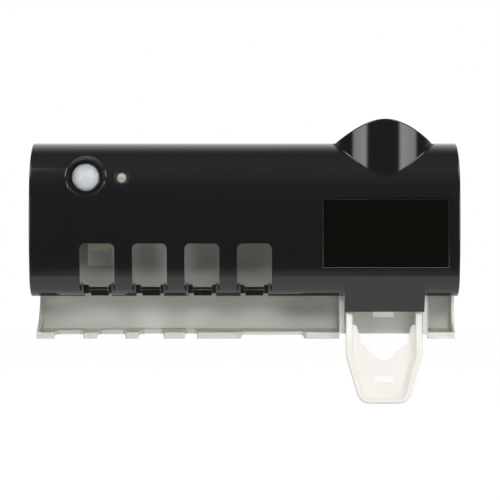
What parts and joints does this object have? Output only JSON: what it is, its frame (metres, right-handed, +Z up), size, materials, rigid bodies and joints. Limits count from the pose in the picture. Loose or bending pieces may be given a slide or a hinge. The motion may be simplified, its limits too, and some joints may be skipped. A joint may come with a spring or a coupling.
{
  "type": "toothpaste dispenser",
  "caption": "Wall-mounted toothpaste dispenser and toothbrush holder: black rounded cover with brush windows and solar panel, grey notched tray, milky push lever that works a squeezer pump.",
  "frame": {"origin": "on the wall face of the back plate, behind the middle of the cover", "axes": "+X to the right seen from the front, +Y into the wall, +Z up"},
  "size_m": [0.3, 0.0622, 0.1992],
  "materials": {
    "cover_black": "polished black ABS",
    "plate_grey": "satin light grey ABS",
    "floor_black": "satin black ABS",
    "panel_black": "clear resin over dark cells",
    "lens_white": "translucent white polyethylene",
    "can_metal": "nickel plated",
    "lamp_clear": "clear epoxy",
    "board_green": "solder mask",
    "chip_black": "moulded epoxy",
    "screw_steel": "zinc plated",
    "cell_wrap": "shrink film",
    "holder_black": "moulded",
    "contact_nickel": "nickel plated",
    "board_white": "white solder mask",
    "lamp_yellow": "lamp dome",
    "body_white": "white ABS",
    "silicone": "soft silicone",
    "spring_steel": "stainless wire",
    "lever_milky": "milky translucent ABS"
  },
  "bodies": {
    "housing": {"front_cover": "cover_black", "back_plate": "plate_grey", "brush_floor": "floor_black", "solar_panel": "panel_black", "pir_lens": "lens_white", "pir_sensor": "can_metal", "status_led": "lamp_clear", "control_board": "board_green", "board_parts": "chip_black", "board_screws": "screw_steel", "battery_cell": "cell_wrap", "battery_holder": "holder_black", "battery_contacts": "contact_nickel", "holder_screws": "screw_steel", "uv_board": "board_white", "uv_lamps": "lamp_yellow", "uv_screws": "screw_steel", "cover_screws": "screw_steel", "floor_screws": "screw_steel"},
    "cartridge": {"squeezer_body": "body_white", "tube_seal": "silicone", "inlet_valve": "silicone", "outlet_valve": "silicone", "nozzle": "body_white", "pump_bellows": "silicone", "pump_ring": "body_white", "ring_screws": "screw_steel", "return_spring": "spring_steel", "lever_pins": "spring_steel"},
    "lever": {"push_lever": "lever_milky"},
    "pusher": {"plunger": "body_white"}
  },
  "joints": [
    {"name": "cartridge_slide", "type": "slide", "parent": "housing", "child": "cartridge", "axis": [0, 0, -1], "range_m": [0, 0.08]},
    {"name": "lever_swing", "type": "hinge", "parent": "cartridge", "child": "lever", "pos_m": [0.098, -0.031, -0.031], "axis": [1, 0, 0], "range_deg": [0, 17], "stiffness_Nm_per_rad": 0.25},
    {"name": "pusher_slide", "type": "slide", "parent": "cartridge", "child": "pusher", "axis": [0, 1, 0], "range_m": [0, 0.0055], "deforming": ["pump_bellows", "return_spring"]}
  ],
  "couplings": [
    {"joint": "pusher_slide", "follows": "lever_swing", "m_per_rad": 0.018}
  ]
}
